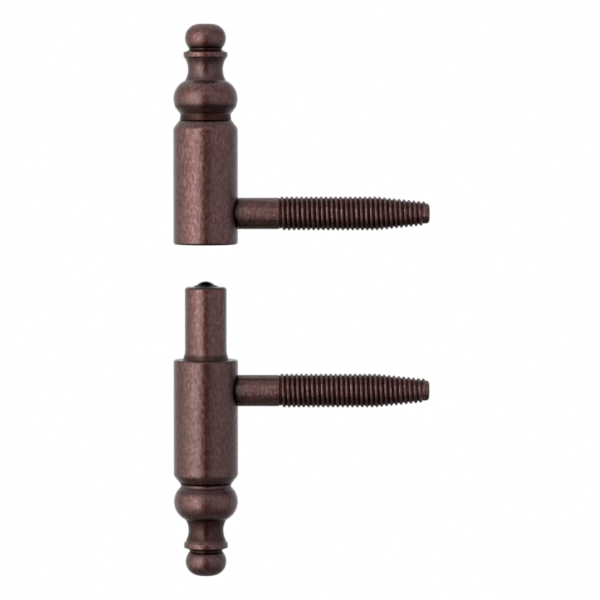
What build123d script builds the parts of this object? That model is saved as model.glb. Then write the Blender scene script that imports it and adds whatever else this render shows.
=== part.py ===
from build123d import *
import os

# Lift-off barrel hinge, in millimetres, drawn with its halves lifted apart.
# The origin is the middle of the frame screw's shoulder, +X runs along the screws
# towards their tips and +Z runs up along the pin.

# Barrels, one size for both halves
barrel_diameter = 13.3
barrel_length = 25.5
barrel_chamfer_height = 1.7
barrel_chamfer_inset = 1.3
barrel_edge_radius = 0.5

# Pin and ball
pin_diameter = 8.6
pin_length = 14.9
pin_edge_radius = 0.6
pin_flare_height = 2.2
pin_flare_width = 0.45
pin_lead_chamfer = 0.4
rolled_rim_height = 0.4
rolled_rim_diameter = 5.5
rolled_rim_land = 0.25
ball_diameter = 5.0
ball_standing_out = 1.2

# Fits and gaps
pin_clearance = 0.05
flare_clearance = 0.05
ball_clearance = 0.05
seated_gap = 0.3
ball_seat_gap = 0.05
shoulder_gap = 0.02
spigot_end_gap = 0.15
socket_end_gap = 0.4

# Finials, heights from the frame barrel's end; the leaf half's shows more of its neck
finial_spigot_diameter = 6.0
finial_spigot_length = 5.6
neck_diameter = 10.35
neck_height = 0.25
neck_flare_width = 0.15
neck_cove_radius = 0.8
bulb_diameter = 13.2
bulb_section_radius = 4.1
crease_diameter = 8.5
waist_diameter = 7.2
waist_height = 9.8
rim_diameter = 9.1
rim_height = 12.3
rim_thickness = 0.85
rim_bevel_height = 0.55
knob_neck_diameter = 6.75
knob_diameter = 8.45
knob_section_radius = 2.95
knob_height = 16.05
leaf_neck_extra = 0.65

# Screws
screw_height = 6.35
screw_spigot_diameter = 5.0
shank_diameter = 6.5
shank_length = 8.3
thread_diameter = 7.0
thread_pitch = 1.0
thread_depth = 0.42
thread_crest = 0.38
thread_root = 0.1
straight_turns = 20
tapered_turns = 10
taper_end_diameter = 4.9
screw_tip_diameter = 4.2
screw_tip_length = 0.9
screw_tip_radius = 0.7

# How far the leaf half is lifted, from barrel end to barrel end
lifted_gap = 23.65

# Sizes that follow from those above
barrel_radius = barrel_diameter / 2
pin_radius = pin_diameter / 2
bore_radius = pin_radius + pin_clearance
mouth_radius = pin_radius + pin_flare_width + flare_clearance
mouth_depth = pin_flare_height
bore_depth = pin_length + ball_standing_out + ball_seat_gap - seated_gap
ball_radius = ball_diameter / 2
ball_centre = pin_length + ball_standing_out - ball_radius
socket_depth = finial_spigot_length + socket_end_gap
screw_spigot_radius = screw_spigot_diameter / 2
screw_spigot_length = barrel_radius - bore_radius - spigot_end_gap + shoulder_gap
shank_radius = shank_diameter / 2
thread_radius = thread_diameter / 2
pin_axis_x = -barrel_radius - shoulder_gap
frame_face_z = screw_height
leaf_face_z = frame_face_z + lifted_gap
leaf_screw_z = leaf_face_z + screw_height


def turned(outline):
    """Solid of revolution about Z from an outline of curves in the XZ plane."""
    return revolve(make_face(Plane.XZ * outline), Axis.Z)


def rod(radius, length):
    """Plain cylinder that stands on zero height."""
    return Cylinder(radius, length, align=(Align.CENTER, Align.CENTER, Align.MIN))


def rise(radius, offset):
    """Height of a circle's edge over its middle at a sideways offset."""
    return (radius**2 - offset**2) ** 0.5


def barrel():
    """Barrel with its mating face at zero height and the finial's end upwards."""
    small_end = barrel_radius - barrel_chamfer_inset
    body = rod(barrel_radius, barrel_length)
    body = fillet(body.edges().sort_by(Axis.Z)[0], barrel_edge_radius)
    slope = Polyline(
        (small_end, barrel_length),
        (barrel_radius, barrel_length - barrel_chamfer_height),
        (2 * barrel_radius, barrel_length - barrel_chamfer_height),
        (2 * barrel_radius, barrel_length),
        close=True,
    )
    bore = Polyline(
        (0, 0),
        (mouth_radius, 0),
        (bore_radius, mouth_depth),
        (bore_radius, bore_depth),
        (0, bore_depth),
        close=True,
    )
    socket = Pos(0, 0, barrel_length - socket_depth) * rod(finial_spigot_diameter / 2, socket_depth)
    cross_hole = Pos(0, 0, screw_height) * Rot(0, 90, 0) * rod(screw_spigot_radius, barrel_diameter)
    return body - turned(slope) - turned(bore) - socket - cross_hole


def finial(neck_extra):
    """Turned ornament with its shoulder at zero height and its spigot below."""
    neck_at = neck_height + neck_extra
    waist_at = waist_height + neck_extra
    rim_at = rim_height + neck_extra
    knob_at = knob_height + neck_extra
    spigot_radius = finial_spigot_diameter / 2
    neck_radius = neck_diameter / 2
    bulb_radius = bulb_diameter / 2
    crease_radius = crease_diameter / 2
    waist_radius = waist_diameter / 2
    rim_radius = rim_diameter / 2
    knob_neck_radius = knob_neck_diameter / 2
    knob_radius = knob_diameter / 2
    bulb_middle = bulb_radius - bulb_section_radius
    knob_middle = knob_radius - knob_section_radius
    rim_top = rim_at + rim_thickness
    knob_top = knob_at + knob_section_radius
    spigot_end = (spigot_radius, -finial_spigot_length)
    cove_side = neck_radius + neck_cove_radius - bulb_middle
    cove_reach = bulb_section_radius + neck_cove_radius
    cove_drop = rise(cove_reach, cove_side)
    bulb_at = neck_at + cove_drop
    bulb_share = bulb_section_radius / cove_reach
    seam = (neck_radius + neck_flare_width, 0)
    neck_end = (neck_radius, neck_at)
    bulb_foot = (bulb_middle + bulb_share * cove_side, bulb_at - bulb_share * cove_drop)
    crease = (crease_radius, bulb_at + rise(bulb_section_radius, crease_radius - bulb_middle))
    rim = (rim_radius, rim_at)
    bevel_end = (knob_neck_radius, rim_top + rim_bevel_height)
    knob_foot = (
        knob_neck_radius,
        knob_at - rise(knob_section_radius, knob_neck_radius - knob_middle),
    )
    knob_end = (knob_middle, knob_top)
    outline = [
        Polyline((0, knob_top), (0, -finial_spigot_length), spigot_end),
        Polyline(spigot_end, (spigot_radius, 0), seam),
        TangentArc(neck_end, seam, tangent=(0, -1)),
        TangentArc(neck_end, bulb_foot, tangent=(0, 1)),
        ThreePointArc(bulb_foot, (bulb_radius, bulb_at), crease),
        ThreePointArc(crease, (waist_radius, waist_at), rim),
        Polyline(rim, (rim_radius, rim_top), bevel_end, knob_foot),
        ThreePointArc(knob_foot, (knob_radius, knob_at), knob_end),
        Line(knob_end, (0, knob_top)),
    ]
    return turned(Curve() + outline)


def thread_outline():
    """Points along the thread, as pairs of radius and distance from the shoulder."""
    flank = (thread_pitch - thread_crest - thread_root) / 2
    ridge = [
        (thread_root, thread_depth),
        (thread_root + flank, 0),
        (thread_root + flank + thread_crest, 0),
        (thread_pitch, thread_depth),
    ]
    points = []
    for turn in range(straight_turns + tapered_turns):
        for along, depth in ridge:
            place = shank_length + turn * thread_pitch + along
            points.append((thread_envelope(place) - depth, place))
    return points


def thread_envelope(place):
    """Radius over the thread's crests at a distance from the shoulder."""
    taper_start = shank_length + straight_turns * thread_pitch
    slope = (thread_radius - taper_end_diameter / 2) / (tapered_turns * thread_pitch)
    return thread_radius - slope * max(place - taper_start, 0)


def screw():
    """Screw with its shoulder at zero and its tip towards +X."""
    thread_end = shank_length + (straight_turns + tapered_turns) * thread_pitch
    tip = thread_end + screw_tip_length
    outline = Polyline(
        (0, -screw_spigot_length),
        (screw_spigot_radius, -screw_spigot_length),
        (screw_spigot_radius, 0),
        (shank_radius, 0),
        (shank_radius, shank_length),
        *thread_outline(),
        (screw_tip_diameter / 2, thread_end),
        (screw_tip_diameter / 2, tip),
        (0, tip),
        close=True,
    )
    body = turned(outline)
    return Rot(0, 90, 0) * fillet(body.edges().sort_by(Axis.Z)[-1], screw_tip_radius)


def hinge_pin():
    """Pin with the frame barrel's mating face at zero height."""
    rim_top = pin_length + rolled_rim_height
    cup_radius = ball_radius + ball_clearance
    cup_mouth = rise(cup_radius, rim_top - ball_centre)
    bend = pin_edge_radius * (1 - 0.5**0.5)
    lead_end = (bore_radius - pin_lead_chamfer, -bore_depth)
    flare_foot = (pin_radius + pin_flare_width, 0)
    flare_top = (pin_radius, pin_flare_height)
    edge_foot = (pin_radius, pin_length - pin_edge_radius)
    edge_middle = (pin_radius - bend, pin_length - bend)
    edge_top = (pin_radius - pin_edge_radius, pin_length)
    outline = [
        Polyline((0, rim_top), (0, -bore_depth), lead_end),
        Polyline(
            lead_end,
            (bore_radius, -bore_depth + pin_lead_chamfer),
            (bore_radius, -mouth_depth),
            (mouth_radius, 0),
            flare_foot,
        ),
        TangentArc(flare_top, flare_foot, tangent=(0, -1)),
        Line(flare_top, edge_foot),
        ThreePointArc(edge_foot, edge_middle, edge_top),
        Polyline(
            edge_top,
            (rolled_rim_diameter / 2, pin_length),
            (cup_mouth + rolled_rim_land, rim_top),
            (0, rim_top),
        ),
    ]
    return turned(Curve() + outline) - Pos(0, 0, ball_centre) * Sphere(cup_radius)


def main():
    """Places every piece and writes one file for each."""
    os.makedirs("parts", exist_ok=True)
    leaf_foot = Pos(pin_axis_x, 0, leaf_face_z)
    frame_top = Pos(pin_axis_x, 0, frame_face_z)
    turned_over = Rot(180, 0, 0)
    finial_end = Pos(0, 0, barrel_length)
    nodes = {
        "leaf_barrel": leaf_foot * barrel(),
        "leaf_finial": leaf_foot * finial_end * finial(leaf_neck_extra),
        "leaf_screw": Pos(0, 0, leaf_screw_z) * screw(),
        "frame_barrel": frame_top * turned_over * barrel(),
        "frame_finial": frame_top * turned_over * finial_end * finial(0),
        "frame_screw": screw(),
        "hinge_pin": frame_top * hinge_pin(),
        "bearing_ball": frame_top * Pos(0, 0, ball_centre) * Sphere(ball_radius),
    }
    for node, shape in nodes.items():
        export_step(shape, "parts/" + node + ".step")


main()
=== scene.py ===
# %% [markdown]
# A lift-off barrel hinge for a door: two short turned barrels, each with a turned finial on its
# outer end and a screw in its side. The lower half carries a pin with a small steel ball on top.
# The upper half has been lifted off and hangs above it.
# The CAD model fixes every size and place. This lesson turns finer pieces on a lathe made of
# bmesh operators, gives them an old copper finish and lights them as small metal goods are lit.

# %% Load the CAD frame
import math

import bmesh
import bpy
from mathutils import Matrix, Vector


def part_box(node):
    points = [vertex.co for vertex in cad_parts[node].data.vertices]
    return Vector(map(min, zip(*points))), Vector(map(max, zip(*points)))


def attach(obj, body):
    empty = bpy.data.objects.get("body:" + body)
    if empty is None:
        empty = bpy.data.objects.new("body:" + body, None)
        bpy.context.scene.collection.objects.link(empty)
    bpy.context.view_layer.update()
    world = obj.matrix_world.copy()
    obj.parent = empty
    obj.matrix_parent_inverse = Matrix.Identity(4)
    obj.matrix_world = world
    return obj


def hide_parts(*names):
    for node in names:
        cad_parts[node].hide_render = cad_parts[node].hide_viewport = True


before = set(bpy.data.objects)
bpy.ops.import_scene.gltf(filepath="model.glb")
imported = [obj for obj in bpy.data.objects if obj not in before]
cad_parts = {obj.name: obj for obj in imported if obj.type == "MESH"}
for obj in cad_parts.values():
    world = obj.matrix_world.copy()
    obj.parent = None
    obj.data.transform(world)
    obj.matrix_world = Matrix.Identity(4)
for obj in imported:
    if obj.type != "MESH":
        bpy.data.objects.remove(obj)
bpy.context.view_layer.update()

# %% [markdown]
# Places first. Every piece has to sit exactly where its solid sits, because the joints and the
# screws' mounts are already fixed there. The places could be typed in again, but they are better
# read from the solids' own boxes, so that they can't drift apart. Small sizes that a box can't
# show, such as the width of a groove, are written in millimetres where they are used.

# %% Read the places from the solids
MM = 0.001


def box_in_mm(node):
    """Lowest and highest corner of a solid, in millimetres."""
    low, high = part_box(node)
    return low / MM, high / MM


leaf_low, leaf_high = box_in_mm("leaf_barrel")
frame_low, frame_high = box_in_mm("frame_barrel")
ball_low, ball_high = box_in_mm("bearing_ball")
leaf_finial_end = box_in_mm("leaf_finial")[1].z
frame_finial_end = box_in_mm("frame_finial")[0].z
screw_low, screw_high = box_in_mm("frame_screw")
leaf_screw_low, leaf_screw_high = box_in_mm("leaf_screw")

axis_x = (leaf_low.x + leaf_high.x) / 2
barrel_radius = (leaf_high.y - leaf_low.y) / 2
barrel_length = leaf_high.z - leaf_low.z
leaf_face_z = leaf_low.z
frame_face_z = frame_high.z
leaf_screw_z = (leaf_screw_low.z + leaf_screw_high.z) / 2
leaf_neck_extra = (leaf_finial_end - leaf_high.z) - (frame_low.z - frame_finial_end)
print("pin axis at x", round(axis_x, 3), "barrel radius", round(barrel_radius, 3))
print("faces at", round(frame_face_z, 3), "and", round(leaf_face_z, 3))
print("the leaf half's finial shows", round(leaf_neck_extra, 3), "mm more neck")

# %% [markdown]
# Almost everything here was made on a lathe, so the script has a small lathe of its own. An
# outline starts as one vertex. Straight runs are drawn by extruding the last vertex, and arcs by
# spinning it about the arc's centre. Then the whole outline is spun once round the axis. A Screw
# modifier could do the same, but with the operators the edges can be rounded straight afterwards.

# %% A lathe made of operators
TURN_STEPS = 128
MERGE_DISTANCE = 1e-7


def first_point(bm, radius, height):
    """Starts an outline in the XZ plane, in millimetres."""
    return bmesh.ops.create_vert(bm, co=(radius * MM, 0, height * MM))["vert"][0]


def line_to(bm, point, radius, height):
    """Draws a straight run from the last point and returns its end."""
    end = bmesh.ops.extrude_vert_indiv(bm, verts=[point])["verts"][0]
    end.co = (radius * MM, 0, height * MM)
    return end


def arc_to(bm, point, centre, radius, height, steps):
    """Swings the last point about a centre, the short way round, and returns the arc's end."""
    middle = Vector((centre[0] * MM, 0, centre[1] * MM))
    start = math.atan2(point.co.z - middle.z, point.co.x - middle.x)
    stop = math.atan2(height * MM - middle.z, radius * MM - middle.x)
    swing = (stop - start + math.pi) % math.tau - math.pi
    made = bmesh.ops.spin(
        bm, geom=[point], cent=middle, axis=(0, -1, 0), angle=swing, steps=steps
    )
    return [g for g in made["geom_last"] if isinstance(g, bmesh.types.BMVert)][0]


def turn(bm, steps=TURN_STEPS):
    """Spins the outline once round the Z axis and closes its seam and poles."""
    bmesh.ops.spin(
        bm,
        geom=bm.verts[:] + bm.edges[:],
        cent=(0, 0, 0),
        axis=(0, 0, 1),
        angle=math.tau,
        steps=steps,
        use_merge=True,
    )
    bmesh.ops.remove_doubles(bm, verts=bm.verts[:], dist=MERGE_DISTANCE)
    bmesh.ops.recalc_face_normals(bm, faces=bm.faces[:])


print("lathe ready:", TURN_STEPS, "steps to a turn")

# %% [markdown]
# No turned edge is a perfect corner: the tool leaves a hair of roundness, and tumbling and the
# polishing wheel add to it. Those edges are also where an antique finish is rubbed bright. So
# the sharp outer edges get a small bevel, and the middle of each bevel is marked in a vertex
# attribute named wear, which the finish reads later.

# %% Round the edges and mark their wear
SHARP_EDGE = math.radians(17)
BEVEL_SEGMENTS = 4


def round_edges(bm, width):
    """Bevels every outward edge sharper than a soft bend and marks the bevels as worn."""
    wear = bm.verts.layers.float.new("wear")
    sharp = [
        e for e in bm.edges
        if e.is_manifold and e.is_convex and e.calc_face_angle() > SHARP_EDGE
    ]
    made = bmesh.ops.bevel(
        bm,
        geom=sharp,
        offset=width * MM,
        offset_type="OFFSET",
        segments=BEVEL_SEGMENTS,
        profile=0.5,
        affect="EDGES",
        material=-1,
        clamp_overlap=True,
    )
    bevels = set(made["faces"])
    for v in made["verts"]:
        if all(f in bevels for f in v.link_faces):
            v[wear] = 1.0
    return len(sharp)


print("edges over", round(math.degrees(SHARP_EDGE)), "degrees get", BEVEL_SEGMENTS, "segments")

# %% [markdown]
# The opposite of wear is found in the hollows: the necks, the waist and the ends of the barrels
# keep the black of the bath because the wheel passes over them. The marks are painted shade as
# well, darker than that patina alone, where a hollow lies in a corner, under an overhang or
# against another part. Each hollow is a range of heights on the turned piece, and it is written
# to a second vertex attribute, the mark of patina and painted shade. The frame half hangs lower,
# further from the light above, so it is given a little painted shade all over, darker than the
# leaf half, and a piece may be marked all over as well.
# A painted mask would do the same, but heights follow the shape when a size changes.

# %% Mark the patina and the painted shade
HOLLOW_FADE = 0.6
JUST_PAST = 0.1
END_DARK = 0.8


def mark_patina_and_shade(bm, dark_bands, all_over=0.0, fade=HOLLOW_FADE):
    """Marks ranges of height as patina and painted shade; each is a lowest and highest height and
    how dark it is.
    """
    layer = bm.verts.layers.float.new("patina_and_shade")
    for v in bm.verts:
        height = v.co.z / MM
        v[layer] = all_over
        for low, high, dark in dark_bands:
            outside = max(low - height, height - high, 0)
            v[layer] = max(v[layer], dark * max(1 - outside / fade, 0))


print("hollows fade out over", HOLLOW_FADE, "mm")

# %% [markdown]
# Each finished mesh becomes an object that sits at the origin with its place in its mesh. It
# rides on the CAD body that it belongs to and stands in for the CAD node, which is then hidden.
# Smooth shading alone would bend the light across the long straight walls, so a Weighted Normal
# modifier lets the large faces decide how the small ones beside them are shaded.

# %% Turn a mesh into a piece of the hinge
CREASE = math.radians(38)


def make_piece(bm, name, node, body, finish):
    """Makes the object, hides the solid it stands for and ties it to its body."""
    mesh = bpy.data.meshes.new(name)
    bm.to_mesh(mesh)
    bm.free()
    mesh.shade_smooth()
    mesh.set_sharp_from_angle(angle=CREASE)
    mesh.materials.append(finish)
    obj = bpy.data.objects.new(name, mesh)
    bpy.context.scene.collection.objects.link(obj)
    even = obj.modifiers.new("even shading", "WEIGHTED_NORMAL")
    even.keep_sharp = True
    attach(obj, body)
    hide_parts(node)
    print(name, "stands for", node, "with", len(mesh.polygons), "faces")


print("pieces are shaded sharp over", round(math.degrees(CREASE)), "degrees")

# %% [markdown]
# A finish is a small network of nodes: a pattern, a range that shapes it and a mix of colours.
# The nodes could be added one by one, but the same few come back in every finish and in the
# studio too, so each kind gets a helper that adds it, sets it and returns its output.

# %% Helpers for finishes
NOISE_ROUGHNESS = 0.6
# Places of the Mix node's colours among its inputs and outputs
MIX_COLOURS = (6, 7)
MIX_RESULT = 2


def start_finish(name):
    """New material with a Principled shader, and its node tree."""
    finish = bpy.data.materials.new(name)
    finish.use_nodes = True
    tree = finish.node_tree
    return finish, tree, tree.nodes["Principled BSDF"]


def put(tree, kind, **settings):
    """Adds a node and sets its properties."""
    node = tree.nodes.new(kind)
    for key, value in settings.items():
        setattr(node, key, value)
    return node


def noise(tree, coords, scale, detail, stretch=(1, 1, 1)):
    """Noise over the piece's own coordinates; the scale is in grains to the metre."""
    place = put(tree, "ShaderNodeMapping")
    place.inputs["Scale"].default_value = stretch
    tree.links.new(coords, place.inputs["Vector"])
    grain = put(tree, "ShaderNodeTexNoise")
    grain.inputs["Scale"].default_value = scale
    grain.inputs["Detail"].default_value = detail
    grain.inputs["Roughness"].default_value = NOISE_ROUGHNESS
    tree.links.new(place.outputs["Vector"], grain.inputs["Vector"])
    return grain.outputs["Fac"]


def ramp(tree, fac, stops):
    """Colour ramp with the given stops of place and colour."""
    node = put(tree, "ShaderNodeValToRGB")
    strip = node.color_ramp.elements
    while len(strip) < len(stops):
        strip.new(0.5)
    for element, (place, colour) in zip(strip, stops):
        element.position = place
        element.color = (*colour, 1)
    tree.links.new(fac, node.inputs["Fac"])
    return node.outputs["Color"]


def span(tree, value, low, high, to_low, to_high):
    """Maps one range of numbers to another and clamps it."""
    node = put(tree, "ShaderNodeMapRange")
    tree.links.new(value, node.inputs["Value"])
    names = ("From Min", "From Max", "To Min", "To Max")
    for key, number in zip(names, (low, high, to_low, to_high)):
        node.inputs[key].default_value = number
    return node.outputs["Result"]


def blend(tree, fac, first, second, mode="MIX"):
    """Mixes two colours; a colour may be a socket or three numbers."""
    node = put(tree, "ShaderNodeMix", data_type="RGBA", blend_type=mode)
    if isinstance(fac, (int, float)):
        node.inputs[0].default_value = fac
    else:
        tree.links.new(fac, node.inputs[0])
    for place, colour in zip(MIX_COLOURS, (first, second)):
        if isinstance(colour, tuple):
            node.inputs[place].default_value = (*colour, 1)
        else:
            tree.links.new(colour, node.inputs[place])
    return node.outputs[MIX_RESULT]


def multiply(tree, first, second):
    """Product of two numbers from nodes."""
    node = put(tree, "ShaderNodeMath", operation="MULTIPLY")
    tree.links.new(first, node.inputs[0])
    tree.links.new(second, node.inputs[1])
    return node.outputs[0]


def larger(tree, first, second):
    """Larger of two numbers from nodes."""
    node = put(tree, "ShaderNodeMath", operation="MAXIMUM")
    tree.links.new(first, node.inputs[0])
    tree.links.new(second, node.inputs[1])
    return node.outputs[0]


print("finish helpers ready")

# %% [markdown]
# The finish is antique copper: steel or brass plated with copper, blackened, rubbed back and
# lacquered. Seen close it is a fine speckle of reddish and dark flecks, darker in the corners
# that the wheel can't reach and lighter on the edges. The darkness in the corners is partly that
# patina and partly painted shade. The clear lacquer gives it a second, colourless shine. A single
# colour would look like paint, so three noises mix the flecks, the clouds and the upright rubbing
# marks. A fourth one, drawn out round the axis, gives the fine marks of the turning tool, and the
# lacquer is the shader's own coat.

# %% The antique copper finish
# The first colour is the black of the patina and painted shade in corners
PATINA_SHADE_BLACK = (0.010, 0.0028, 0.0018)
DARK_FLECK = (0.065, 0.006, 0.004)
COPPER_BROWN = (0.108, 0.031, 0.026)
RUBBED_COPPER = (0.155, 0.065, 0.057)
BRIGHT_COPPER = (0.215, 0.108, 0.098)
DULL_BROWN = (0.095, 0.036, 0.031)
# Colour of the marked bands of patina and painted shade
PATINA_SHADE_DARK = (0.028, 0.0075, 0.0045)
FLECK_STOPS = [
    (0.37, DARK_FLECK), (0.48, COPPER_BROWN), (0.56, RUBBED_COPPER), (0.65, BRIGHT_COPPER),
]
RUB_STOPS = [(0.34, DARK_FLECK), (0.52, COPPER_BROWN), (0.70, RUBBED_COPPER)]
RUB_SHARE = 0.40
# Grains to the metre
FLECK_SCALE = 1900
RUB_SCALE = 1500
CLOUD_SCALE = 230
MARK_SCALE = 9000
# Ranges: from a low and a high value to two others
CLOUDED = (0.45, 0.70, 0.0, 0.45)
WORN_FLECKS = (0.35, 0.6, 0.05, 0.35)
WORN_OUTSIDE = (0.0, 0.5, 1.0, 0.0)
CORNER_SHADE = (0.35, 0.82, 0.85, 0.0)
FLECK_ROUGHNESS = (0.3, 0.7, 0.48, 0.34)
HOLLOW_LACQUER = (0.55, 0.9, 1.0, 0.25)
CORNER_SAMPLES = 8
LACQUER_ROUGHNESS = 0.12
LACQUER_IOR = 1.5


def bumped(tree, height, depth, normal=None):
    """Small unevenness of a depth in millimetres, on top of another if one is given."""
    bump = put(tree, "ShaderNodeBump")
    bump.inputs["Strength"].default_value = 1.0
    bump.inputs["Distance"].default_value = depth * MM
    tree.links.new(height, bump.inputs["Height"])
    if normal:
        tree.links.new(normal, bump.inputs["Normal"])
    return bump.outputs["Normal"]


def antique_copper(name, corner_reach, along, drawn_out, mark_depth, grain_depth):
    """Old copper under clear lacquer, with patina and painted shade in corners, and turning marks
    across the axis along.
    """
    finish, tree, shader = start_finish(name)
    coords = put(tree, "ShaderNodeTexCoord").outputs["Object"]
    flecks = noise(tree, coords, FLECK_SCALE, 3, stretch=drawn_out)
    clouds = noise(tree, coords, CLOUD_SCALE, 2)
    rubbing = noise(tree, coords, RUB_SCALE, 2, stretch=drawn_out)
    fleck_colour = ramp(tree, flecks, FLECK_STOPS)
    rub_colour = ramp(tree, rubbing, RUB_STOPS)
    metal = blend(tree, RUB_SHARE, fleck_colour, rub_colour)
    metal = blend(tree, span(tree, clouds, *CLOUDED), metal, DULL_BROWN)

    # The marked bands blend the colour towards patina and painted shade
    patina_and_shade = put(tree, "ShaderNodeAttribute", attribute_name="patina_and_shade").outputs["Fac"]
    metal = blend(tree, patina_and_shade, metal, PATINA_SHADE_DARK)
    wear = put(tree, "ShaderNodeAttribute", attribute_name="wear").outputs["Fac"]
    lightened = multiply(tree, wear, span(tree, flecks, *WORN_FLECKS))
    lightened = multiply(tree, lightened, span(tree, patina_and_shade, *WORN_OUTSIDE))
    metal = blend(tree, lightened, metal, BRIGHT_COPPER)

    # Painted shade: ambient occlusion blends the colour towards black in corners and where another
    # part is near
    corner = put(tree, "ShaderNodeAmbientOcclusion", samples=CORNER_SAMPLES)
    corner.inputs["Distance"].default_value = corner_reach * MM
    dark = span(tree, corner.outputs["AO"], *CORNER_SHADE)
    metal = blend(tree, dark, metal, PATINA_SHADE_BLACK)
    tree.links.new(metal, shader.inputs["Base Color"])

    tree.links.new(span(tree, flecks, *FLECK_ROUGHNESS), shader.inputs["Roughness"])
    shader.inputs["Metallic"].default_value = 1.0
    # The same mark thins the lacquer, so those bands lose its reflection too
    tree.links.new(span(tree, patina_and_shade, *HOLLOW_LACQUER), shader.inputs["Coat Weight"])
    shader.inputs["Coat Roughness"].default_value = LACQUER_ROUGHNESS
    shader.inputs["Coat IOR"].default_value = LACQUER_IOR

    marks = noise(tree, coords, MARK_SCALE, 1, stretch=along)
    uneven = bumped(tree, flecks, grain_depth, bumped(tree, marks, mark_depth))
    tree.links.new(uneven, shader.inputs["Normal"])
    tree.links.new(uneven, shader.inputs["Coat Normal"])
    return finish


barrel_finish = antique_copper(
    "antique_copper", corner_reach=2.6, along=(0.03, 0.03, 1), drawn_out=(1, 1, 0.55),
    mark_depth=0.03, grain_depth=0.05,
)
print("finish:", barrel_finish.name)

# %% [markdown]
# A barrel is a short turned rod. Its mating end is bored for the pin, with a countersink at the
# mouth that clears the pin's flare, and its edge is rounded. The other end is chamfered down to
# the finial and has a socket for the finial's spigot. A cylinder primitive with booleans could
# make it, but one closed outline on the lathe gives cleaner rings for the light to run along.

# %% Turn the two barrels
CHAMFER_HEIGHT = 1.7
CHAMFER_INSET = 1.3
CHAMFER_STEPS = 5
FACE_EDGE_RADIUS = 0.5
FACE_EDGE_STEPS = 8
WALL_RING = 0.2
END_BAND = 0.2
BARREL_TOOL_EDGE = 0.4
BORE_RADIUS = 4.35
MOUTH_RADIUS = 4.8
MOUTH_DEPTH = 2.2
BORE_DEPTH = 15.85
SPIGOT_RADIUS = 3.0
SOCKET_DEPTH = 6.0


def turn_barrel(darkness):
    """Barrel on the Z axis with its mating face at zero height and its finial end upwards."""
    bm = bmesh.new()
    wall = barrel_radius
    p = first_point(bm, 0, BORE_DEPTH)
    p = line_to(bm, p, BORE_RADIUS, BORE_DEPTH)
    p = line_to(bm, p, BORE_RADIUS, MOUTH_DEPTH)
    p = line_to(bm, p, MOUTH_RADIUS, 0)
    p = line_to(bm, p, wall - FACE_EDGE_RADIUS, 0)
    edge_centre = (wall - FACE_EDGE_RADIUS, FACE_EDGE_RADIUS)
    p = arc_to(bm, p, edge_centre, wall, FACE_EDGE_RADIUS, FACE_EDGE_STEPS)
    p = line_to(bm, p, wall, FACE_EDGE_RADIUS + WALL_RING)
    p = line_to(bm, p, wall, barrel_length - CHAMFER_HEIGHT)
    for step in range(1, CHAMFER_STEPS + 1):
        share = step / CHAMFER_STEPS
        height = barrel_length - (1 - share) * CHAMFER_HEIGHT
        p = line_to(bm, p, wall - share * CHAMFER_INSET, height)
    p = line_to(bm, p, SPIGOT_RADIUS, barrel_length)
    p = line_to(bm, p, SPIGOT_RADIUS, barrel_length - SOCKET_DEPTH)
    line_to(bm, p, 0, barrel_length - SOCKET_DEPTH)
    turn(bm)
    print("barrel edges rounded:", round_edges(bm, BARREL_TOOL_EDGE))
    # Patina and painted shade at the mating face and at the end under the finial; darkness is
    # painted shade all over
    face = (-JUST_PAST, 0.0, END_DARK)
    far_end = (barrel_length - END_BAND, barrel_length, END_DARK)
    mark_patina_and_shade(bm, [face, far_end], darkness)
    return bm


def stand_on_axis(bm, height, turned_over=False):
    """Moves a turned shape to the pin's axis, upside down for the frame half."""
    if turned_over:
        bmesh.ops.rotate(
            bm, verts=bm.verts[:], cent=(0, 0, 0), matrix=Matrix.Rotation(math.pi, 3, "X")
        )
    bmesh.ops.translate(bm, verts=bm.verts[:], vec=(axis_x * MM, 0, height * MM))
    return bm


# The frame half hangs lower, further from the light above, so its barrel gets more painted shade
# all over
make_piece(
    stand_on_axis(turn_barrel(darkness=0.05), leaf_face_z),
    "leaf_barrel_turned", "leaf_barrel", "leaf_half", barrel_finish,
)
make_piece(
    stand_on_axis(turn_barrel(darkness=0.32), frame_face_z, turned_over=True),
    "frame_barrel_turned", "frame_barrel", "frame_half", barrel_finish,
)

# %% [markdown]
# The finial is the ornament on each outer end: a short neck, a full bulb, a hollow waist that
# flares to a low rim, and a round knob. All of it is one outline of lines and arcs. A smooth
# curve through a few points would be quicker, but the real one has crisp creases between its
# forms, so each form is its own arc. The waist's arc goes through three points, and its centre
# is where the lines midway between them cross.

# %% The finial's sizes
NECK_RADIUS = 5.175
NECK_HEIGHT = 0.25
NECK_FLARE = 0.15
NECK_COVE = 0.8
BULB_RADIUS = 6.6
BULB_SECTION = 4.1
CREASE_RADIUS = 4.25
WAIST_RADIUS = 3.6
WAIST_HEIGHT = 9.8
RIM_RADIUS = 4.55
RIM_HEIGHT = 12.3
RIM_THICKNESS = 0.85
RIM_BEVEL = 0.55
KNOB_NECK_RADIUS = 3.375
KNOB_RADIUS = 4.225
KNOB_SECTION = 2.95
KNOB_HEIGHT = 16.05
SPIGOT_LENGTH = 5.6
NECK_STEPS = 8
BULB_STEPS = 36
WAIST_STEPS = 24
KNOB_STEPS = 30
FINIAL_TOOL_EDGE = 0.22
# Where the bands of patina and painted shade lie; a longer neck widens the first and lifts the
# second
SEAM_BAND = 0.1
SEAM_GROWTH = 1.4
RING_LIFT = 0.45
RING_GROWTH = 0.9
RING_BAND = 0.55
RING_GAP = 0.3
CREASE_BAND = 0.2
RIM_GAP = 0.8
BEVEL_BAND = 0.5
KNOB_BAND = 0.2
# How dark each band is painted: patina, and painted shade at the seam, the neck and under the knob
SEAM_DARK = 0.92
NECK_DARK = 0.50
KNOB_NECK_DARK = 0.9
KNOB_SHARE = 2.5
print("finial stands", KNOB_HEIGHT + KNOB_SECTION, "mm over the frame barrel's end")


# %% Circles in an outline
def side_of_circle(radius, offset):
    """How far a circle's edge lies from its middle line at an offset."""
    return math.sqrt(radius**2 - offset**2)


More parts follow.
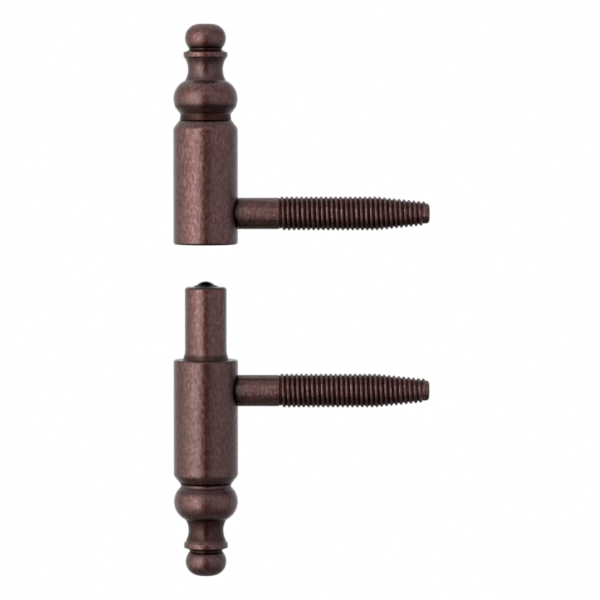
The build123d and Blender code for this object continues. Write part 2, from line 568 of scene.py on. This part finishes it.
def centre_through(a, b, c):
    """Centre of the circle through three points of an outline."""
    (ax, ay), (bx, by), (cx, cy) = a, b, c
    double = 2 * (ax * (by - cy) + bx * (cy - ay) + cx * (ay - by))
    sa, sb, sc = ax**2 + ay**2, bx**2 + by**2, cx**2 + cy**2
    return (
        (sa * (by - cy) + sb * (cy - ay) + sc * (ay - by)) / double,
        (sa * (cx - bx) + sb * (ax - cx) + sc * (bx - ax)) / double,
    )


# %% Turn the two finials
def turn_finial(neck_extra, darkness, ring_dark, waist_dark):
    """Finial on the Z axis with its shoulder at zero height and its spigot below."""
    neck_top = NECK_HEIGHT + neck_extra
    neck_arc = (neck_top**2 + NECK_FLARE**2) / (2 * NECK_FLARE)
    cove_side = NECK_RADIUS + NECK_COVE - (BULB_RADIUS - BULB_SECTION)
    cove_drop = side_of_circle(BULB_SECTION + NECK_COVE, cove_side)
    bulb_centre = (BULB_RADIUS - BULB_SECTION, neck_top + cove_drop)
    knob_centre = (KNOB_RADIUS - KNOB_SECTION, KNOB_HEIGHT + neck_extra)
    bulb_share = BULB_SECTION / (BULB_SECTION + NECK_COVE)
    bulb_foot = (
        bulb_centre[0] + bulb_share * cove_side,
        bulb_centre[1] - bulb_share * cove_drop,
    )
    crease = (
        CREASE_RADIUS,
        bulb_centre[1] + side_of_circle(BULB_SECTION, CREASE_RADIUS - bulb_centre[0]),
    )
    rim = (RIM_RADIUS, RIM_HEIGHT + neck_extra)
    waist_centre = centre_through(crease, (WAIST_RADIUS, WAIST_HEIGHT + neck_extra), rim)
    rim_top = rim[1] + RIM_THICKNESS
    knob_foot = knob_centre[1] - side_of_circle(KNOB_SECTION, KNOB_NECK_RADIUS - knob_centre[0])
    knob_top = knob_centre[1] + KNOB_SECTION
    seam_end = SEAM_BAND + SEAM_GROWTH * neck_extra
    ring_foot = bulb_foot[1] + RING_LIFT + RING_GROWTH * neck_extra

    bm = bmesh.new()
    p = first_point(bm, 0, -SPIGOT_LENGTH)
    p = line_to(bm, p, SPIGOT_RADIUS, -SPIGOT_LENGTH)
    p = line_to(bm, p, SPIGOT_RADIUS, 0)
    p = line_to(bm, p, NECK_RADIUS + NECK_FLARE, 0)
    p = arc_to(bm, p, (NECK_RADIUS + neck_arc, neck_top), NECK_RADIUS, neck_top, NECK_STEPS)
    p = arc_to(bm, p, (NECK_RADIUS + NECK_COVE, neck_top), *bulb_foot, NECK_STEPS)
    p = arc_to(bm, p, bulb_centre, *crease, BULB_STEPS)
    p = arc_to(bm, p, waist_centre, *rim, WAIST_STEPS)
    p = line_to(bm, p, RIM_RADIUS, rim_top)
    p = line_to(bm, p, KNOB_NECK_RADIUS, rim_top + RIM_BEVEL)
    p = line_to(bm, p, KNOB_NECK_RADIUS, knob_foot)
    p = arc_to(bm, p, knob_centre, knob_centre[0], knob_top, KNOB_STEPS)
    line_to(bm, p, 0, knob_top)
    turn(bm)
    print("finial edges rounded:", round_edges(bm, FINIAL_TOOL_EDGE))
    # Bands of patina and painted shade; darkness adds painted shade all over
    mark_patina_and_shade(bm, [
        (-JUST_PAST, seam_end, SEAM_DARK),
        (seam_end, ring_foot - RING_GAP, NECK_DARK),
        (ring_foot, ring_foot + RING_BAND, ring_dark),
        (crease[1] - CREASE_BAND, rim[1] - RIM_GAP, waist_dark),
        (rim_top + BEVEL_BAND, knob_foot + KNOB_BAND, KNOB_NECK_DARK),
        (knob_foot, knob_top, KNOB_SHARE * darkness),
    ], darkness)
    return bm


# The frame half's finial hangs upside down with its waist under the bulb, so it gets more painted
# shade there and all over
leaf_finial = turn_finial(leaf_neck_extra, darkness=0.0, ring_dark=0.80, waist_dark=0.50)
frame_finial = turn_finial(0, darkness=0.12, ring_dark=0.65, waist_dark=0.82)
make_piece(
    stand_on_axis(leaf_finial, leaf_high.z),
    "leaf_finial_turned", "leaf_finial", "leaf_half", barrel_finish,
)
make_piece(
    stand_on_axis(frame_finial, frame_low.z, turned_over=True),
    "frame_finial_turned", "frame_finial", "frame_half", barrel_finish,
)

# %% [markdown]
# The pin is pressed into the frame half's barrel. At its foot it flares into the countersink, at
# its top the edge is rounded, and a thin rim is rolled over the ball so that it can turn but not
# fall out. A cylinder with a scaled foot could stand in for it, but the flare and the rolled rim
# catch the light, so the pin is turned like the rest, and its cup is two more arcs of the outline.

# %% Turn the pin
PIN_RADIUS = 4.3
PIN_LENGTH = 14.9
PIN_EDGE = 0.6
FLARE_HEIGHT = 2.2
FLARE_WIDTH = 0.45
LEAD_CHAMFER = 0.4
ROLLED_RIM_HEIGHT = 0.4
ROLLED_RIM_RADIUS = 2.75
ROLLED_RIM_LAND = 0.25
CUP_CLEARANCE = 0.05
FLARE_STEPS = 10
PIN_EDGE_STEPS = 8
LIP_STEPS = 10
CUP_STEPS = 20
PIN_TOOL_EDGE = 0.05
PIN_FOOT_BAND = 0.9
PIN_TOP_BAND = 0.01
ball_radius = (ball_high.z - ball_low.z) / 2
ball_centre = (ball_high.z + ball_low.z) / 2 - frame_face_z


def turn_pin():
    """Pin on the Z axis with the frame barrel's face at zero height."""
    cup_radius = ball_radius + CUP_CLEARANCE
    rim_top = PIN_LENGTH + ROLLED_RIM_HEIGHT
    cup_mouth = side_of_circle(cup_radius, rim_top - ball_centre)
    flare_foot = PIN_RADIUS + FLARE_WIDTH
    flare_arc = (FLARE_HEIGHT**2 + FLARE_WIDTH**2) / (2 * FLARE_WIDTH)
    bm = bmesh.new()
    p = first_point(bm, 0, -BORE_DEPTH)
    p = line_to(bm, p, BORE_RADIUS - LEAD_CHAMFER, -BORE_DEPTH)
    p = line_to(bm, p, BORE_RADIUS, -BORE_DEPTH + LEAD_CHAMFER)
    p = line_to(bm, p, BORE_RADIUS, -MOUTH_DEPTH)
    p = line_to(bm, p, MOUTH_RADIUS, 0)
    p = line_to(bm, p, flare_foot, 0)
    flare_centre = (PIN_RADIUS + flare_arc, FLARE_HEIGHT)
    p = arc_to(bm, p, flare_centre, PIN_RADIUS, FLARE_HEIGHT, FLARE_STEPS)
    p = line_to(bm, p, PIN_RADIUS, PIN_LENGTH - PIN_EDGE)
    edge_centre = (PIN_RADIUS - PIN_EDGE, PIN_LENGTH - PIN_EDGE)
    p = arc_to(bm, p, edge_centre, PIN_RADIUS - PIN_EDGE, PIN_LENGTH, PIN_EDGE_STEPS)
    p = line_to(bm, p, ROLLED_RIM_RADIUS, PIN_LENGTH)
    p = line_to(bm, p, cup_mouth + ROLLED_RIM_LAND, rim_top)
    p = line_to(bm, p, cup_mouth, rim_top)
    p = arc_to(bm, p, (0, ball_centre), cup_radius, ball_centre, LIP_STEPS)
    arc_to(bm, p, (0, ball_centre), 0, ball_centre - cup_radius, CUP_STEPS)
    turn(bm)
    print("pin edges rounded:", round_edges(bm, PIN_TOOL_EDGE))
    # Patina and painted shade at the pin's foot in the countersink and at the rolled rim round the
    # ball
    foot = (-JUST_PAST, PIN_FOOT_BAND, END_DARK)
    top = (PIN_LENGTH - PIN_TOP_BAND, rim_top, END_DARK)
    mark_patina_and_shade(bm, [foot, top])
    return bm


make_piece(
    stand_on_axis(turn_pin(), frame_face_z),
    "hinge_pin_turned", "hinge_pin", "frame_half", barrel_finish,
)

# %% [markdown]
# The ball takes the door's weight on one point, which is why such a hinge runs lightly. It is
# hardened steel, bare and dark with oil. It could be turned as a half circle, but a sphere
# primitive is just as round. Its finish is one noise, for the film of oil.

# %% The bearing ball
FILM_SCALE = 900
FILM_STOPS = [(0.35, (0.011, 0.010, 0.010)), (0.7, (0.038, 0.035, 0.034))]
FILM_ROUGHNESS = (0.3, 0.7, 0.14, 0.26)
BALL_SEGMENTS = 64
BALL_RINGS = 40


def ball_steel(name):
    """Hardened steel, oiled and nearly black."""
    finish, tree, shader = start_finish(name)
    coords = put(tree, "ShaderNodeTexCoord").outputs["Object"]
    film = noise(tree, coords, FILM_SCALE, 3)
    tone = ramp(tree, film, FILM_STOPS)
    tree.links.new(tone, shader.inputs["Base Color"])
    tree.links.new(span(tree, film, *FILM_ROUGHNESS), shader.inputs["Roughness"])
    shader.inputs["Metallic"].default_value = 1.0
    return finish


ball = bmesh.new()
bmesh.ops.create_uvsphere(
    ball, u_segments=BALL_SEGMENTS, v_segments=BALL_RINGS, radius=ball_radius * MM
)
make_piece(
    stand_on_axis(ball, frame_face_z + ball_centre),
    "bearing_ball_polished", "bearing_ball", "ball", ball_steel("dark_steel"),
)

# %% [markdown]
# Each half is held by a screw in its barrel's side. A plain shank comes first and then a long
# thread that tapers towards a rounded tip. In the solids the thread is a row of closed ridges.
# Here it is a true right-handed helix: a small ridge section is spun thirty times round the axis
# while it moves along, and then every point is drawn in where the screw tapers and where the
# thread starts and fades out. Boolean cutting would give the same grooves with a worse mesh.

# %% The screw's sizes
SCREW_SPIGOT_RADIUS = 2.5
SHANK_RADIUS = 3.25
SHANK_LENGTH = 8.3
SHANK_RINGS = (0.3, 0.7, 1.1, 1.6, 2.2)
THREAD_RADIUS = 3.5
PITCH = 1.0
THREAD_DEPTH = 0.42
CREST_WIDTH = 0.38
CREST_ROUND = 0.08
ROOT_WIDTH = 0.1
STRAIGHT_TURNS = 20
ALL_TURNS = 30
TAPER_END_RADIUS = 2.45
TIP_RADIUS = 2.1
TIP_ROUND = 0.7
THREAD_LEAD = 0.15
THREAD_STEPS = 48
RUN_IN_TURNS = 0.25
RUN_OUT_TURNS = 0.4
SINK = 0.06
CREST_LEAN = 0.4
ROOT_RAMP = 0.2
TIP_RUN = 0.8
TIP_STEPS = 10
SCREW_STEPS = 96
SCREW_TOOL_EDGE = 0.1
thread_end = SHANK_LENGTH + ALL_TURNS * PITCH
tip_end = screw_high.x
spigot_end = screw_low.x


def drawn_in(along):
    """How much nearer the axis the thread is at a distance from the shoulder."""
    taper_start = SHANK_LENGTH + STRAIGHT_TURNS * PITCH
    taper_length = thread_end - taper_start
    slope = (THREAD_RADIUS - TAPER_END_RADIUS) / taper_length
    return slope * min(max(along - taper_start, 0), taper_length)


print("thread of", ALL_TURNS, "turns ends", thread_end, "mm from the shoulder")


# %% The screw's core
def turn_core(bm):
    """Spigot, shank, thread root and tip in one outline along the Z axis."""
    root = THREAD_RADIUS - THREAD_DEPTH
    p = first_point(bm, 0, spigot_end)
    p = line_to(bm, p, SCREW_SPIGOT_RADIUS, spigot_end)
    p = line_to(bm, p, SCREW_SPIGOT_RADIUS, 0)
    p = line_to(bm, p, SHANK_RADIUS, 0)
    for ring in SHANK_RINGS:
        p = line_to(bm, p, SHANK_RADIUS, ring)
    p = line_to(bm, p, SHANK_RADIUS, SHANK_LENGTH)
    p = line_to(bm, p, root, SHANK_LENGTH + ROOT_RAMP)
    p = line_to(bm, p, root, SHANK_LENGTH + STRAIGHT_TURNS * PITCH)
    p = line_to(bm, p, TIP_RADIUS, thread_end - TIP_RUN)
    p = line_to(bm, p, TIP_RADIUS, tip_end - TIP_ROUND)
    tip_centre = (TIP_RADIUS - TIP_ROUND, tip_end - TIP_ROUND)
    p = arc_to(bm, p, tip_centre, TIP_RADIUS - TIP_ROUND, tip_end, TIP_STEPS)
    line_to(bm, p, 0, tip_end)
    turn(bm, SCREW_STEPS)
    print("screw edges rounded:", round_edges(bm, SCREW_TOOL_EDGE))


# %% The screw's thread
def wind_thread(bm):
    """Winds the closed ridge round the core and draws it in at its ends and its taper."""
    before = set(bm.verts)
    root = THREAD_RADIUS - THREAD_DEPTH
    middle = SHANK_LENGTH + THREAD_LEAD * PITCH
    foot = (PITCH - ROOT_WIDTH) / 2
    crest = CREST_WIDTH / 2
    p = first = first_point(bm, root - SINK, middle - foot)
    for radius, height in (
        (root, middle - foot),
        (THREAD_RADIUS - CREST_ROUND, middle - crest - CREST_LEAN * CREST_ROUND),
        (THREAD_RADIUS, middle - crest + CREST_ROUND),
        (THREAD_RADIUS, middle + crest - CREST_ROUND),
        (THREAD_RADIUS - CREST_ROUND, middle + crest + CREST_LEAN * CREST_ROUND),
        (root, middle + foot),
        (root - SINK, middle + foot),
    ):
        p = line_to(bm, p, radius, height)
    bm.edges.new((p, first))
    section = [v for v in bm.verts if v not in before]
    edges = list({e for v in section for e in v.link_edges})
    start_cap = bmesh.ops.contextual_create(bm, geom=section + edges)["faces"]
    bmesh.ops.spin(
        bm,
        geom=start_cap + section + edges,
        cent=(0, 0, 0),
        axis=(0, 0, 1),
        dvec=(0, 0, PITCH * MM / THREAD_STEPS),
        angle=math.tau * ALL_TURNS,
        steps=ALL_TURNS * THREAD_STEPS,
    )
    ridge = [v for v in bm.verts if v not in before]
    bmesh.ops.remove_doubles(bm, verts=ridge, dist=MERGE_DISTANCE)
    ridge = [v for v in bm.verts if v not in before]
    for v in ridge:
        angle = math.atan2(v.co.y, v.co.x) / math.tau
        along = v.co.z / MM
        turn_number = angle + round((along - middle) / PITCH - angle)
        fade_in = min(max(turn_number / RUN_IN_TURNS, 0), 1)
        fade_out = min(max((ALL_TURNS - turn_number) / RUN_OUT_TURNS, 0), 1)
        radius = math.hypot(v.co.x, v.co.y) / MM
        height = (radius - root + SINK) * min(fade_in, fade_out) + root - SINK
        drawn = (height - drawn_in(along)) / radius
        v.co.x *= drawn
        v.co.y *= drawn
    bmesh.ops.recalc_face_normals(bm, faces=[f for f in bm.faces if f.verts[0] not in before])
    return len(ridge)


# %% Mark the grooves and put the screw together
TIP_LIGHTER = 0.8
GROOVE_START = 0.1
GROOVE_STOP = 0.3
# Bands of patina and painted shade on the screw
SHOULDER_BAND = 0.2
SHOULDER_DARK = 0.9
SHANK_DARK = 0.25
SHANK_FADE = 1.9
SCREW_DARK = 0.04


def mark_grooves(bm):
    """Writes how deep in the thread each point lies to an attribute, 0 on crests and shank."""
    groove = bm.verts.layers.float.new("groove")
    for v in bm.verts:
        along = v.co.z / MM
        radius = math.hypot(v.co.x, v.co.y) / MM
        if SHANK_LENGTH + GROOVE_START < along < thread_end - GROOVE_STOP:
            depth = THREAD_RADIUS - drawn_in(along) - radius
            # Towards the tapered tip the grooves are painted less dark
            lightened = TIP_LIGHTER * drawn_in(along) / (THREAD_RADIUS - TAPER_END_RADIUS)
            v[groove] = min(max(depth / THREAD_DEPTH, 0), 1) * (1 - lightened)


def cut_screw():
    """One screw, laid along X with the middle of its shoulder at the origin."""
    bm = bmesh.new()
    turn_core(bm)
    points = wind_thread(bm)
    mark_grooves(bm)
    # Patina and painted shade at the shoulder against the barrel, fading out along the shank; the
    # whole screw a little darker too
    shoulder = (spigot_end, SHOULDER_BAND, SHOULDER_DARK)
    shank = (SHOULDER_BAND, SHANK_LENGTH, SHANK_DARK)
    mark_patina_and_shade(bm, [shoulder, shank], SCREW_DARK, SHANK_FADE)
    bmesh.ops.rotate(
        bm, verts=bm.verts[:], cent=(0, 0, 0), matrix=Matrix.Rotation(math.pi / 2, 3, "Y")
    )
    print("thread points:", points)
    return bm


# %% [markdown]
# The screws have the same copper finish, but their grooves are dark brown and dull: partly the
# bath's black, which no wheel or lacquer brush reaches, and partly painted shade, darker than the
# grooves' own shadow makes them, while the crests stay as bright as the barrels. How deep a point
# lies in the thread is known from its distance to the axis, so the last cell stored it in an
# attribute named groove, and this finish adds it to the copper as patina and painted shade.

# %% Finish and place the screws
# Colour of the grooves' patina and painted shade
GROOVE_SHADE_BROWN = (0.040, 0.012, 0.007)
GROOVE_DARK = (0.15, 0.7, 0.0, 0.90)
GROOVE_LACQUER = (0.2, 0.8, 1.0, 0.15)


def coppered_thread(name):
    """The barrels' copper with grooves painted dark and dull, as patina and painted shade."""
    finish = antique_copper(
        name, corner_reach=1.2, along=(1, 0.03, 0.03), drawn_out=(0.55, 1, 1),
        mark_depth=0.07, grain_depth=0.015,
    )
    tree = finish.node_tree
    shader = tree.nodes["Principled BSDF"]
    metal = shader.inputs["Base Color"].links[0].from_socket
    # Patina and painted shade in the grooves: browner and with less lacquer the deeper a point lies
    groove = put(tree, "ShaderNodeAttribute", attribute_name="groove").outputs["Fac"]
    groove_shaded = blend(tree, span(tree, groove, *GROOVE_DARK), metal, GROOVE_SHADE_BROWN)
    tree.links.new(groove_shaded, shader.inputs["Base Color"])
    tree.links.new(span(tree, groove, *GROOVE_LACQUER), shader.inputs["Coat Weight"])
    return finish


thread_finish = coppered_thread("coppered_thread")
frame_screw = cut_screw()
leaf_screw = frame_screw.copy()
bmesh.ops.translate(leaf_screw, verts=leaf_screw.verts[:], vec=(0, 0, leaf_screw_z * MM))
make_piece(
    leaf_screw,
    "leaf_screw_threaded", "leaf_screw", "leaf_half", thread_finish,
)
make_piece(
    frame_screw,
    "frame_screw_threaded", "frame_screw", "frame_half", thread_finish,
)

# %% [markdown]
# Small metal goods are photographed on white, between soft boxes, because polished metal shows
# its surroundings. The hinge in the picture shows what stood there: a bright soft wall on the
# left, a dimmer one on the right, a narrow dark gap between them where the camera stands, a
# ceiling and darkness underneath. Many lamps and cards could build such a room. One world with
# two ramps is easier to read: one goes round the hinge, one goes from the floor to the ceiling.

# %% The room's brightness
# Brightness round the hinge: angle from the camera, minus to the left, and how bright it is there
ROUND_ABOUT = [
    (-180, 0.46), (-128, 0.70), (-108, 0.74), (-92, 1.15), (-77, 1.60), (-64, 1.90), (-52, 2.20),
    (-41, 2.84), (-30, 2.84), (-20, 1.90), (-11, 0.56), (-4, 0.04), (4, 0.02), (11, 0.24),
    (20, 0.68), (35, 0.72), (85, 0.62), (99, 0.56), (117, 0.54), (142, 0.52), (180, 0.46),
]
# Share of it that is left at each height angle
UP_AND_DOWN = [
    (-75, 0.02), (-62, 0.05), (-50, 0.16), (-40, 0.36), (-30, 0.62), (-20, 0.88), (-10, 1.0),
    (10, 1.0), (24, 0.85), (36, 0.55), (48, 0.28), (70, 0.12),
]
CEILING_LEFT = (0.95, 0.95, 0.95)
CEILING_RIGHT = (0.62, 0.62, 0.65)
OVER_CAMERA = 0.58
WARM_LEFT = 1.03
COOL_RIGHT = 0.93
# Where the ceiling and the light over the camera begin and end, as parts of a direction
CEILING_SIDES = (-0.6, 0.4)
CEILING_EDGE = (0.42, 0.77)
OVER_CAMERA_FOOT = (0.30, 0.45)
OVER_CAMERA_TOP = (0.55, 0.72)
OVER_CAMERA_SIDES = (0.45, 0.80)

world = bpy.data.worlds.new("studio")
bpy.context.scene.world = world
world.use_nodes = True
room = world.node_tree
direction = put(room, "ShaderNodeTexCoord").outputs["Generated"]
axes = put(room, "ShaderNodeSeparateXYZ")
room.links.new(direction, axes.inputs[0])
to_right, to_back, to_top = (axes.outputs[axis] for axis in "XYZ")
to_front = put(room, "ShaderNodeMath", operation="MULTIPLY")
to_front.inputs[1].default_value = -1
room.links.new(to_back, to_front.inputs[0])
bearing = put(room, "ShaderNodeMath", operation="ARCTAN2")
room.links.new(to_right, bearing.inputs[0])
room.links.new(to_front.outputs[0], bearing.inputs[1])
print("room set, brightest", max(v for _, v in ROUND_ABOUT))


# %% The room's walls and ceiling
def grey(level, warmth=1.0):
    """A grey, a little warm above one and a little cool below."""
    return (level, level, level / warmth)


around = ramp(
    room, span(room, bearing.outputs[0], -math.pi, math.pi, 0, 1),
    [((a + 180) / 360, grey(v, WARM_LEFT if a < 0 else COOL_RIGHT)) for a, v in ROUND_ABOUT],
)
height = ramp(
    room, span(room, to_top, -1, 1, 0, 1),
    [(0.5 + 0.5 * math.sin(math.radians(a)), grey(v)) for a, v in UP_AND_DOWN],
)
walls = blend(room, 1.0, around, height, "MULTIPLY")
across = span(room, to_right, *CEILING_SIDES, 0, 1)
ceiling = ramp(room, across, [(0, CEILING_LEFT), (1, CEILING_RIGHT)])
walls = blend(room, span(room, to_top, *CEILING_EDGE, 0, 1), walls, ceiling)
over_foot = span(room, to_top, *OVER_CAMERA_FOOT, 0, 1)
over_top = span(room, to_top, *OVER_CAMERA_TOP, 1, 0)
over_sides = span(room, to_front.outputs[0], *OVER_CAMERA_SIDES, 0, OVER_CAMERA)
over = multiply(room, multiply(room, over_foot, over_top), over_sides)
walls = blend(room, over, walls, (1, 1, 1), "ADD")
room_light = room.nodes["Background"]
room.links.new(walls, room_light.inputs["Color"])
print("walls from", len(ROUND_ABOUT), "levels round about and", len(UP_AND_DOWN), "up and down")

# %% [markdown]
# The hinge stands before a plain white backdrop. A bright wall would also light the hinge, so
# the white is given by kind of ray. The camera sees white wherever it looks. Reflections, and
# what is seen through glass, show the white where the backdrop stands, behind the hinge. In all
# other directions they show the room, as the metal in the picture does.

# %% White backdrop
BACKDROP_EDGE = (0.85, 0.95)

paper = put(room, "ShaderNodeBackground")
paper.inputs["Color"].default_value = (1, 1, 1, 1)
rays = put(room, "ShaderNodeLightPath")
choose = put(room, "ShaderNodeMixShader")
mirrored = larger(room, rays.outputs["Is Glossy Ray"], rays.outputs["Is Transmission Ray"])
behind = multiply(room, mirrored, span(room, to_back, *BACKDROP_EDGE, 0, 1))
room.links.new(larger(room, rays.outputs["Is Camera Ray"], behind), choose.inputs["Fac"])
room.links.new(room_light.outputs[0], choose.inputs[1])
room.links.new(paper.outputs[0], choose.inputs[2])
room.links.new(choose.outputs[0], room.nodes["World Output"].inputs["Surface"])
print("backdrop from", BACKDROP_EDGE[0], "to", BACKDROP_EDGE[1], "of the way to the back")

# %% [markdown]
# Under the hinge lies a sheet of thin white paper, which takes a soft shadow. A large floor
# would end in a line, so the paper grows clearer with distance and fades into the white. It is
# thin in its middle too, because the hinge in the picture is dark underneath: the metal shows
# the paper just as the camera does, and a full sheet would make the undersides too pale.

# %% Floor
FLOOR_Z = -110 * MM
FLOOR_SIZE = 0.4
PAPER = (0.8, 0.8, 0.8, 1)
PAPER_ROUGHNESS = 0.9
PAPER_WEIGHT = 0.45
# Metres from the middle: thickest up to the first, gone at the second
PAPER_FULL = 0.02
PAPER_REACH = 0.11


def floor_paper():
    """Thin white paper that grows clearer away from the hinge and is clear from below."""
    finish, tree, shader = start_finish("floor_paper")
    shader.inputs["Base Color"].default_value = PAPER
    shader.inputs["Roughness"].default_value = PAPER_ROUGHNESS
    shader.inputs["Specular IOR Level"].default_value = 0.0
    coords = put(tree, "ShaderNodeTexCoord").outputs["Object"]
    level = put(tree, "ShaderNodeMapping")
    level.inputs["Scale"].default_value = (1, 1, 0)
    tree.links.new(coords, level.inputs["Vector"])
    away = put(tree, "ShaderNodeVectorMath", operation="LENGTH")
    tree.links.new(level.outputs["Vector"], away.inputs[0])
    far = span(tree, away.outputs["Value"], PAPER_FULL, PAPER_REACH, 1 - PAPER_WEIGHT, 1)
    side = put(tree, "ShaderNodeNewGeometry")
    clear = put(tree, "ShaderNodeBsdfTransparent")
    sheet = put(tree, "ShaderNodeMixShader")
    tree.links.new(larger(tree, far, side.outputs["Backfacing"]), sheet.inputs["Fac"])
    tree.links.new(shader.outputs[0], sheet.inputs[1])
    tree.links.new(clear.outputs[0], sheet.inputs[2])
    tree.links.new(sheet.outputs[0], tree.nodes["Material Output"].inputs["Surface"])
    return finish


def lay_floor(name, finish):
    """A level square sheet under the hinge, facing up."""
    bm = bmesh.new()
    bmesh.ops.create_grid(bm, x_segments=1, y_segments=1, size=FLOOR_SIZE / 2)
    bmesh.ops.translate(bm, verts=bm.verts[:], vec=(0, 0, FLOOR_Z))
    mesh = bpy.data.meshes.new(name)
    bm.to_mesh(mesh)
    bm.free()
    mesh.materials.append(finish)
    obj = bpy.data.objects.new(name, mesh)
    bpy.context.scene.collection.objects.link(obj)


lay_floor("floor", floor_paper())
print("floor at", round(FLOOR_Z / MM, 1), "mm")

# %% [markdown]
# Two soft boxes stand to the left and the right of the camera, the left one much brighter, as the
# picture shows. The room alone could light the metal, but lamps give the paper its shadow and the
# edges a little more life. They stay dim, so that a colour renders about as it is written.

# %% Soft boxes
BOX_DISTANCE = 0.45
BOX_HEIGHT = 0.46
hinge_middle = Vector((axis_x, 0, 18)) * MM


def soft_box(name, side_angle, height_angle, width, brightness):
    """Area light aimed at the middle of the hinge; brightness 1 is white."""
    lamp = bpy.data.lights.new(name, "AREA")
    lamp.shape = "RECTANGLE"
    lamp.size = width
    lamp.size_y = BOX_HEIGHT
    lamp.energy = brightness * math.pi * width * BOX_HEIGHT
    obj = bpy.data.objects.new(name, lamp)
    bpy.context.scene.collection.objects.link(obj)
    side, up = math.radians(side_angle), math.radians(height_angle)
    level = math.cos(up)
    to_lamp = Vector((math.sin(side) * level, -math.cos(side) * level, math.sin(up)))
    obj.location = hinge_middle + to_lamp * BOX_DISTANCE
    obj.rotation_euler = to_lamp.to_track_quat("Z", "Y").to_euler()
    obj.visible_camera = False
    print(name, "power", round(lamp.energy, 3), "W")


soft_box("left_box", side_angle=-35, height_angle=11, width=0.42, brightness=0.50)
soft_box("right_box", side_angle=58, height_angle=8, width=0.60, brightness=0.08)

# %% [markdown]
# The hinge was taken from a good way off with a long lens, from just above its middle: the ends
# of the barrels hardly curve, and what curve they have shows the upper faces a little. So the
# camera stands 0.9 m away, three degrees up, and its lens fits 123 mm into the square picture.

# %% Camera
CAMERA_DISTANCE = 0.9
CAMERA_RISE = math.radians(3.0)
PICTURE_WIDTH = 123.0
SENSOR = 36.0
aim = Vector((12.65, 0, 18.6)) * MM

camera_data = bpy.data.cameras.new("camera")
camera_data.sensor_width = SENSOR
camera_data.lens = SENSOR * CAMERA_DISTANCE / (PICTURE_WIDTH * MM)
camera = bpy.data.objects.new("camera", camera_data)
bpy.context.scene.collection.objects.link(camera)
away = Vector((0, -math.cos(CAMERA_RISE), math.sin(CAMERA_RISE)))
camera.location = aim + away * CAMERA_DISTANCE
camera.rotation_euler = away.to_track_quat("Z", "Y").to_euler()
bpy.context.scene.camera = camera
bpy.context.scene.view_settings.view_transform = "Standard"
print("lens", round(camera_data.lens, 1), "mm")
